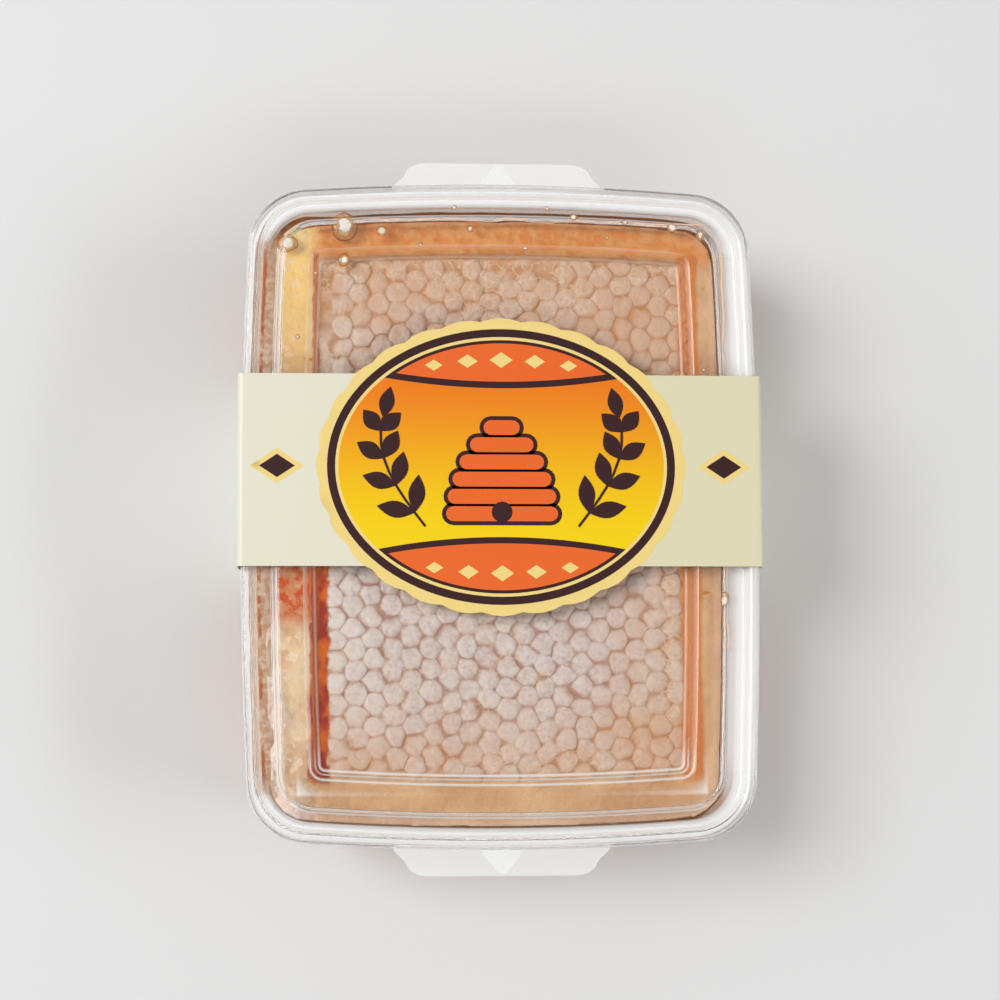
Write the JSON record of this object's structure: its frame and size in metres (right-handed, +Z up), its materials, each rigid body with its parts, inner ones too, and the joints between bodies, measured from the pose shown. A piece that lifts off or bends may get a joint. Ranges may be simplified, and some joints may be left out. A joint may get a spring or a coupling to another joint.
{
  "type": "comb honey in a clear lidded tray",
  "caption": "Slab of capped honeycomb in honey, shut in a clear plastic tray with a recessed lid, end tabs and a card band with a die-cut badge.",
  "frame": {"origin": "bottom centre of the pack's box, on the surface that it stands on", "axes": "+X across the pack, +Y along it towards the tab that is at the top of the picture, +Z up through the lid"},
  "size_m": [0.1306, 0.1788, 0.0426],
  "materials": {
    "tray_plastic": "clear, smooth, glossy",
    "lid_plastic": "clear, smooth, glossy, with fine moulding ripples",
    "wax": "pale pinkish beeswax caps, satin, with honey-dark grooves",
    "honey": "clear amber, glossy",
    "card": "smooth pale cream-green card with a satin print"
  },
  "bodies": {
    "root": {"tray": "tray_plastic", "lid": "lid_plastic", "comb": "wax", "honey": "honey", "sleeve": "card"}
  },
  "joints": []
}
